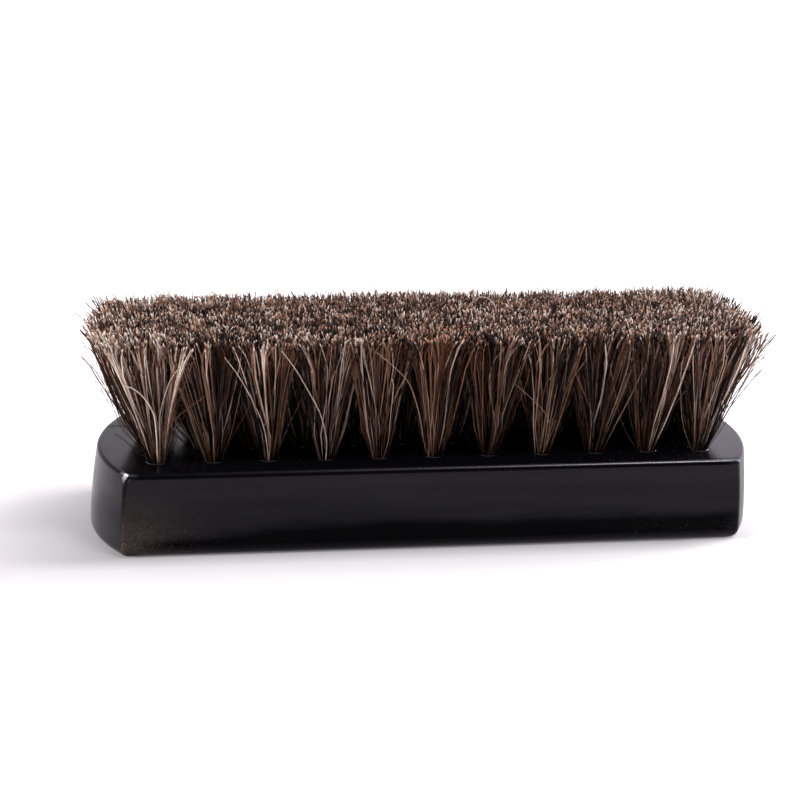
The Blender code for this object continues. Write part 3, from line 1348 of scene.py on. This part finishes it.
@dataclass
class BristleField:
    """All the tufts, hair by hair."""

    tufts: list[Tuft]
    kinds: tuple = (CLINGING, SINGLE, SPLAYED, STRAY, FRINGE)
    finest: HairKind = FUZZ
    wisps: tuple = WISPS
    half_length: float = 83.2 * MM
    half_width: float = 24.8 * MM
    corner: float = 9.0 * MM
    reach_x: float = 7.6 * MM
    reach_y: float = 6.8 * MM
    root_radius: float = 1.75 * MM
    sunk: float = 1.2 * MM
    jitter: float = 0.7 * MM
    fray: float = 0.3 * MM
    kink: float = 1.2 * MM
    blunt: float = 0.18
    trim: float = 0.34 * MM
    trim_near: float = 0.36 * MM
    dome: float = 0.5 * MM
    lean: float = 1.12
    inner_lean: float = 0.84
    inner_reach: float = 1.18
    last_tuft: float = 74.0 * MM
    ends_share: float = 0.8
    # Painted light: the hair is made paler at both ends and towards the left, and every tuft is darkened
    # alike.
    end_painted_light: float = 0.145
    middle_dark: float = 0.045
    tilt: float = 0.01
    ruddy: str = "tuft_front_06"
    ruddy_share: float = 0.27
    ruddy_tone: float = 0.685
    ruddy_scatter: float = 0.02
    lock_scatter: float = 0.22
    end_light_falloff: int = 5
    shortest: float = 2.0 * MM
    longest: float = 9.0 * MM
    most_over: float = 3.0
    rise_power: float = 1.5
    flatness: tuple = (1, 1, 0.1)
    bow_share: float = 0.85
    kink_power: int = 10
    thin_root: float = 0.78
    root_share: float = 0.3
    blunt_from: float = 0.78
    wisp_steps: tuple = (0.4, 0.86)
    wisp_taper: float = 0.45
    seed: int = 7
    finish: Horsehair = field(default_factory=Horsehair)

    def build(self) -> list[bpy.types.Object]:
        """Build one object of hair for every tuft.

        Returns:
            The objects.
        """
        rng = np.random.default_rng(self.seed)
        finest_rng = np.random.default_rng(self.seed + 1)
        material = self.finish.build()
        made = []
        for tuft in self.tufts:
            hairs = HairMesh()
            for kind in self.kinds:
                if self.grows(kind, tuft):
                    self.lay(tuft, kind, hairs, rng)
            if self.grows(self.finest, tuft):
                self.lay(tuft, self.finest, hairs, finest_rng, turned=True)
            for wisp in self.wisps:
                if wisp.node == tuft.node:
                    self.add_wisp(wisp, tuft, hairs)
            piece = hairs.build(tuft.node + "_hair", rng)
            piece.data.materials.append(material)
            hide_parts(tuft.node)
            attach(piece, BODY)
            made.append(piece)
        return made

    def is_inner(self, tuft: Tuft) -> bool:
        """Whether the tuft stands in one of the two inner rows."""
        return abs(tuft.root[1]) < self.half_width / 2

    def grows(self, kind: HairKind, tuft: Tuft) -> bool:
        """Whether a tuft has hair of a kind.

        Args:
            kind: The kind of hair.
            tuft: The tuft.

        Returns:
            True where it has.
        """
        if kind.where is Where.BEHIND:
            return self.is_behind(tuft)
        if kind.where is Where.BACK_ROW:
            return tuft.root[1] > self.half_width / 2
        if kind.where is Where.ENDS:
            return abs(tuft.root[0]) > self.last_tuft * self.ends_share
        return True

    def painted_light_shift(self, tuft: Tuft) -> float:
        """How much paler a tuft's hair is: most at both ends, and more at the left than at the right."""
        # Painted light: paler hair at both ends, and towards the left, stands in for the side light on
        # the flanks.
        end = self.end_painted_light * min(1.0, abs(tuft.tip[0]) / self.last_tuft) ** self.end_light_falloff
        return end - self.middle_dark - self.tilt * tuft.tip[0] / self.half_length

    def is_behind(self, tuft: Tuft) -> bool:
        """Whether the tuft stands behind the front row."""
        return tuft.root[1] > -self.half_width / 2

    def fan_box(self, tuft: Tuft, kind: HairKind) -> tuple[np.ndarray, np.ndarray]:
        """The part of the trimmed field over which a tuft's tips spread.

        Args:
            tuft: The tuft.
            kind: The kind of hair.

        Returns:
            The lowest and the highest x and y.
        """
        reach = np.array([self.reach_x, self.reach_y]) * (self.inner_reach if self.is_inner(tuft) else 1)
        limit = np.array([self.half_length * kind.field_share, self.half_width]) + kind.overshoot
        low = np.minimum(tuft.tip[:2] - tuft.reach, tuft.root[:2] - reach * kind.spread)
        high = np.maximum(tuft.tip[:2] + tuft.reach, tuft.root[:2] + reach * kind.spread)
        return np.maximum(low, -limit), np.minimum(high, limit)

    def add_wisp(self, wisp: Wisp, tuft: Tuft, hairs: HairMesh) -> None:
        """Add a single hair that breaks away from its tuft.

        Args:
            wisp: The hair.
            tuft: Its tuft.
            hairs: The mesh that takes it.
        """
        line = wisp.line(tuft.root)
        steps = tuple(np.linspace(*self.wisp_steps, len(line)))
        radii = wisp.radius * (1 - self.wisp_taper * np.linspace(0, 1, len(line)) ** 3)
        hairs.add(line[None], radii[None], np.array([wisp.tone]), steps)

    def lay(
        self,
        tuft: Tuft,
        kind: HairKind,
        hairs: HairMesh,
        rng: np.random.Generator,
        turned: bool = False,
    ) -> None:
        """Lay the hairs of one kind from a tuft's hole to its share of the trimmed field.

        Args:
            tuft: The tuft.
            kind: The kind of hair.
            hairs: The mesh that takes them.
            rng: The source of chance.
            turned: Whether each hair is also turned about its own line here.
        """
        fan = self.scatter(kind.locks, rng)
        tips = self.place_tips(tuft, kind, fan, rng)
        lines = self.bend(self.place_roots(tuft, fan), tips, tuft, kind, rng)
        members = rng.integers(kind.fewest, kind.most + 1, kind.locks)
        lines = np.repeat(lines, members, axis=0)
        tones = rng.uniform(kind.darkest, kind.palest, kind.locks)
        tones = np.repeat(tones, members) + self.painted_light_shift(tuft)
        t = np.array(kind.steps)
        if kind.bundle > 0:
            lines = self.part(lines, t, kind, rng)
            tones = np.clip(tones + rng.normal(0, self.lock_scatter, len(tones)), 0, 1)
        if tuft.node == self.ruddy:
            picked = rng.uniform(0, 1, len(tones)) < self.ruddy_share
            ruddy = rng.normal(self.ruddy_tone, self.ruddy_scatter, len(tones))
            tones = np.where(picked, ruddy, tones)
        kinks = rng.normal(0, self.kink, (len(lines), 1, 3)) * (1, 1, 0)
        lines += kinks * (t**self.kink_power)[None, :, None]
        size = rng.uniform(kind.thin, kind.thick, len(lines))
        turns = rng.uniform(0, 2 * math.pi, len(lines)) if turned else None
        hairs.add(lines, size[:, None] * self.thickness(t)[None], tones, kind.steps, turns)

    def place_tips(
        self,
        tuft: Tuft,
        kind: HairKind,
        fan: np.ndarray,
        rng: np.random.Generator,
    ) -> np.ndarray:
        """Where the locks of one kind end.

        Args:
            tuft: The tuft.
            kind: The kind of hair.
            fan: The locks' places in the tuft's square fan, from -1 to 1.
            rng: The source of chance.

        Returns:
            The tips.
        """
        low, high = self.fan_box(tuft, kind)
        tips = np.empty((kind.locks, 3))
        tips[:, :2] = (low + high) / 2 + fan * (high - low) / 2 + rng.normal(0, self.jitter, fan.shape)
        self.round_corners(tips, kind.overshoot)
        tips[:, :2] += rng.normal(0, self.fray, fan.shape)
        dome = self.dome * (fan**4).sum(1) / 2
        tips[:, 2] = tuft.tip[2] + rng.normal(0, self.trim, kind.locks) - dome
        short = rng.uniform(0, 1, kind.locks) < kind.short
        tips[:, 2] -= short * rng.uniform(self.shortest, self.longest, kind.locks)
        tips[:, 2] -= kind.overshoot * rng.uniform(0, self.most_over, kind.locks)
        if kind.rise > 0:
            tips[:, 2] += kind.rise * rng.uniform(0, 1, kind.locks) ** self.rise_power
        return tips

    def place_roots(self, tuft: Tuft, fan: np.ndarray) -> np.ndarray:
        """Where the locks start, a little way down the leaning hole.

        Args:
            tuft: The tuft.
            fan: The locks' places in the tuft's square fan, from -1 to 1.

        Returns:
            The roots.
        """
        roots = np.empty((len(fan), 3))
        roots[:, :2] = self.to_disc(fan) * self.root_radius
        roots[:, 2] = -self.sunk
        hole = np.array(tuft.hole_frame())
        return roots @ hole[:3, :3].T + hole[:3, 3]

    def bend(
        self,
        roots: np.ndarray,
        tips: np.ndarray,
        tuft: Tuft,
        kind: HairKind,
        rng: np.random.Generator,
    ) -> np.ndarray:
        """Run a bowed and waved line from each root to its tip.

        Args:
            roots: The locks' roots.
            tips: Their tips.
            tuft: The tuft.
            kind: The kind of hair.
            rng: The source of chance.

        Returns:
            The locks' centre lines.
        """
        t = np.array(kind.steps)
        lines = roots[:, None] + (tips - roots)[:, None] * t[None, :, None]
        lean = (self.inner_lean if self.is_inner(tuft) else self.lean) * kind.lean_share
        spread = (t**lean)[None, :, None]
        lines[:, :, :2] = roots[:, None, :2] + (tips - roots)[:, None, :2] * spread
        bow = rng.normal(0, kind.bow, (kind.locks, 3)) * self.flatness
        wave = rng.normal(0, kind.wave, (kind.locks, 3)) * self.flatness
        lines += bow[:, None] * np.sin(math.pi * t * self.bow_share)[None, :, None]
        lines += wave[:, None] * np.sin(2 * math.pi * t)[None, :, None]
        return lines

    def thickness(self, t: np.ndarray) -> np.ndarray:
        """How thick a hair is along its length: thinner at its root, and blunt at its cut tip.

        Args:
            t: The place of each point along a hair, from 0 to 1.

        Returns:
            The share of the hair's own radius at each point.
        """
        root = self.thin_root + (1 - self.thin_root) * np.minimum(t / self.root_share, 1)
        return root + self.blunt * np.maximum(t - self.blunt_from, 0) / (1 - self.blunt_from)

    def part(
        self,
        lines: np.ndarray,
        t: np.ndarray,
        kind: HairKind,
        rng: np.random.Generator,
    ) -> np.ndarray:
        """Move the hairs of each lock a little apart, most at their tips.

        Args:
            lines: The hairs' centre lines.
            t: The place of each point along a hair, from 0 to 1.
            kind: The kind of hair.
            rng: The source of chance.

        Returns:
            The moved lines.
        """
        shape = (len(lines), 1, 3)
        foot = rng.normal(0, kind.bundle, shape) * (1, 1, 0)
        middle = rng.normal(0, kind.bundle, shape) * (1, 1, 0)
        tip = rng.normal(0, kind.tip_gap, shape) * (1, 1, 0)
        tip[:, :, 2] = rng.normal(0, self.trim_near, shape[:2])
        s = t[None, :, None]
        return lines + foot * (1 - s) ** 2 + middle * 2 * s * (1 - s) + tip * s**3

    def scatter(self, count: int, rng: np.random.Generator) -> np.ndarray:
        """Places spread evenly but by chance over a square.

        Args:
            count: How many.
            rng: The source of chance.

        Returns:
            Their x and y, from -1 to 1.
        """
        side = math.ceil(math.sqrt(count))
        cells = rng.permutation(side * side)[:count]
        corner = np.stack([cells % side, cells // side], axis=1)
        return (corner + rng.uniform(0, 1, (count, 2))) / side * 2 - 1

    def to_disc(self, square: np.ndarray) -> np.ndarray:
        """Press places in a square into a disc, without crowding its rim.

        Args:
            square: Their x and y, from -1 to 1.

        Returns:
            The places in the disc of radius 1.
        """
        x, y = square[:, 0], square[:, 1]
        return np.stack([x * np.sqrt(1 - y * y / 2), y * np.sqrt(1 - x * x / 2)], axis=1)

    def round_corners(self, tips: np.ndarray, overshoot: float) -> None:
        """Pull tips that lie outside the field's rounded corners back onto them.

        Args:
            tips: The tips, which are changed.
            overshoot: How far outside the field they may stand.
        """
        inner = np.array([self.half_length, self.half_width]) + overshoot - self.corner
        past = np.maximum(np.abs(tips[:, :2]) - inner, 0)
        length = np.linalg.norm(past, axis=1)
        share = np.where(length > self.corner, self.corner / np.maximum(length, 1e-9), 1)
        inside = np.minimum(np.abs(tips[:, :2]), inner)
        tips[:, :2] = np.sign(tips[:, :2]) * (inside + past * share[:, None])


@dataclass(frozen=True)
class CameraView:
    """The photograph's view of the brush, as angles, a distance and a lens."""

    yaw: float = math.radians(8.477)
    dip: float = math.radians(17.128)
    roll: float = math.radians(1.340)
    distance: float = 455.1 * MM
    aim: tuple = (-6.27 * MM, 0.0, 30.25 * MM)
    focal_px: float = 1817.5
    picture_px: float = 800.0
    sensor_mm: float = 36.0
    clip_start: float = 0.01

    def build(self) -> bpy.types.Object:
        """Place the camera.

        Returns:
            The camera's object.
        """
        forward = Vector(
            (
                math.sin(self.yaw) * math.cos(self.dip),
                math.cos(self.yaw) * math.cos(self.dip),
                -math.sin(self.dip),
            )
        )
        right = Vector((math.cos(self.yaw), -math.sin(self.yaw), 0))
        up = right.cross(forward)
        across = right * math.cos(self.roll) + up * math.sin(self.roll)
        above = up * math.cos(self.roll) - right * math.sin(self.roll)
        place = Matrix((across, above, -forward)).transposed().to_4x4()
        place.translation = Vector(self.aim) - forward * self.distance
        data = bpy.data.cameras.new("camera")
        data.sensor_width = self.sensor_mm
        data.lens = self.focal_px / self.picture_px * self.sensor_mm
        data.clip_start = self.clip_start
        camera = add_object("camera", data)
        camera.matrix_world = place
        bpy.context.scene.camera = camera
        return camera


@dataclass(frozen=True)
class Softbox:
    """A rectangular soft lamp that faces the brush."""

    name: str
    place: tuple
    wide: float
    tall: float
    power: float

    def build(self) -> bpy.types.Object:
        """Hang the lamp.

        Returns:
            The lamp's object.
        """
        data = bpy.data.lights.new(self.name, "AREA")
        data.shape = "RECTANGLE"
        data.size = self.wide
        data.size_y = self.tall
        data.energy = self.power
        lamp = add_object(self.name, data)
        lamp.location = self.place
        lamp.rotation_euler = (-Vector(self.place)).to_track_quat("-Z", "Y").to_euler()
        return lamp


@dataclass
class Studio:
    """The pale floor, the white backdrop all round, the dimmer room in front, and the lamps."""

    floor_half: float = 4.0
    floor_colour: tuple = (0.70, 0.675, 0.69, 1.0)
    floor_roughness: float = 0.9
    floor_shine: float = 0.1
    glow_colour: tuple = (1.0, 0.968, 0.986, 1.0)
    mirror_glow: Run = Run(0.12, 0.60, (0.36, 1.0))
    shade_half: tuple = (77.0 * MM, 24.0 * MM)
    shade_stretch: float = 4.0
    # Painted shadow: the floor glows least right next to the block.
    painted_shadow_glow: Run = Run(0.0, 8.0 * MM, (0.11, 0.43))
    wide_glow: Run = Run(8.0 * MM, 70.0 * MM, (0.0, 0.55))
    # Painted light: more glow behind and to the right whitens the shadow there away.
    behind_glow: Run = Run(0.0, 50.0 * MM, (0.0, 0.26))
    right_glow: Run = Run(60.0 * MM, 90.0 * MM, (0.0, 0.40))
    white: tuple = (1.0, 1.0, 1.0, 1.0)
    backdrop_colour: tuple = (0.970, 0.900, 1.0, 1.0)
    backdrop: Run = Run(-0.25, 0.25, (0.42, 1.0))
    sky: float = 0.34
    lamps: tuple = (
        Softbox("key", (0.62, 0.14, 0.70), 0.36, 0.70, 4.1),
        Softbox("front_fill", (0.35, -0.40, 0.85), 0.26, 0.22, 1.9),
        Softbox("left_fill", (-0.90, -0.15, 0.20), 0.28, 0.28, 7.7),
        Softbox("right_fill", (0.90, 0.25, 0.22), 0.28, 0.28, 4.0),
    )

    def build(self) -> None:
        """Set up floor, surroundings and lamps."""
        self.floor()
        self.surroundings()
        for lamp in self.lamps:
            lamp.build()
        bpy.context.scene.view_settings.view_transform = "Standard"

    def floor(self) -> bpy.types.Object:
        """Lay the floor, which shows white to the camera and darkens close to the brush by painted
        shadow.

        Returns:
            The floor's object.
        """
        bm = bmesh.new()
        bmesh.ops.create_grid(bm, x_segments=1, y_segments=1, size=self.floor_half)
        floor = new_object("floor", bm)
        nodes = NodeBuilder(bpy.data.materials.new("pale_floor"))
        place = nodes.add("TexCoord").outputs["Object"]
        away = nodes.add("VectorMath", {0: place}, operation="LENGTH").outputs["Value"]
        mirrored = nodes.product(self.mirrored(nodes), nodes.level(away, self.mirror_glow))
        seen = nodes.product(self.seen(nodes), self.glow_with_painted_shadow(nodes, place))
        inputs = {
            "Base Color": self.floor_colour,
            "Roughness": self.floor_roughness,
            "Specular IOR Level": self.floor_shine,
            "Emission Color": self.glow_colour,
            "Emission Strength": nodes.math("MAXIMUM", mirrored, seen),
        }
        nodes.put(nodes.shader, inputs)
        floor.data.materials.append(nodes.owner)
        return floor

    def glow_with_painted_shadow(self, nodes: NodeBuilder, place: bpy.types.NodeSocket) -> bpy.types.NodeSocket:
        """How white the floor shows: least close to the block and most behind and to the right of it.

        The dip close to the block is painted shadow, which deepens the lamps' shadow; the rise behind and
        to the right is painted light, which whitens the shadow there away.

        Args:
            nodes: The floor material's node builder.
            place: The floor's coordinates.

        Returns:
            The level, from 0 to 1.
        """
        x, y, _ = nodes.axes(place)
        past_x = nodes.math("SUBTRACT", nodes.math("ABSOLUTE", x), self.shade_half[0])
        past_x = nodes.math("DIVIDE", nodes.math("MAXIMUM", past_x), self.shade_stretch)
        past_y = nodes.math("SUBTRACT", nodes.math("ABSOLUTE", y), self.shade_half[1])
        past_y = nodes.math("MAXIMUM", past_y)
        past = nodes.add("CombineXYZ", {"X": past_x, "Y": past_y}).outputs[0]
        away = nodes.add("VectorMath", {0: past}, operation="LENGTH").outputs["Value"]
        level = nodes.level(away, self.painted_shadow_glow)
        level = nodes.math("ADD", level, nodes.level(away, self.wide_glow))
        level = nodes.math("ADD", level, nodes.level(y, self.behind_glow))
        return nodes.math("ADD", level, nodes.level(x, self.right_glow), clamp=True)

    def mirrored(self, nodes: NodeBuilder) -> bpy.types.NodeSocket:
        """1 for rays that a gloss or a clear thing sends on, and 0 for others."""
        path = nodes.add("LightPath").outputs
        return nodes.math("MAXIMUM", path["Is Glossy Ray"], path["Is Transmission Ray"])

    def surroundings(self) -> None:
        """Surround the brush with a white backdrop that dims towards the room in front."""
        world = bpy.data.worlds.new("surroundings")
        nodes = NodeBuilder(world)
        _, ahead, _ = nodes.axes(nodes.add("TexCoord").outputs["Generated"])
        backdrop = nodes.level(ahead, self.backdrop)
        light = nodes.product(backdrop, self.sky)
        mirrored = nodes.product(backdrop, self.mirrored(nodes))
        seen = self.seen(nodes)
        inputs = {
            "Color": nodes.mix(seen, self.backdrop_colour, self.white),
            "Strength": nodes.math("MAXIMUM", nodes.math("MAXIMUM", light, mirrored), seen),
        }
        nodes.put(nodes.tree.nodes["Background"], inputs)
        bpy.context.scene.world = world

    def seen(self, nodes: NodeBuilder) -> bpy.types.NodeSocket:
        """1 for rays straight from the camera, and 0 for others."""
        return nodes.add("LightPath").outputs["Is Camera Ray"]


def main() -> None:
    """Build the studio and the brush, and report each piece."""
    logging.basicConfig(level=logging.INFO, format="%(name)s: %(message)s")
    CameraView().build()
    Studio().build()
    block = Block()
    face_z = block.high.z
    names = sorted(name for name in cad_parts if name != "block")
    tufts = [Tuft(name, face_z) for name in names]
    wood = block.build(tufts)
    log.info("%s: %d faces", wood.name, len(wood.data.polygons))
    for piece in BristleField(tufts).build():
        log.info("%s: %d faces", piece.name, len(piece.data.polygons))


if __name__ == "__main__":
    main()
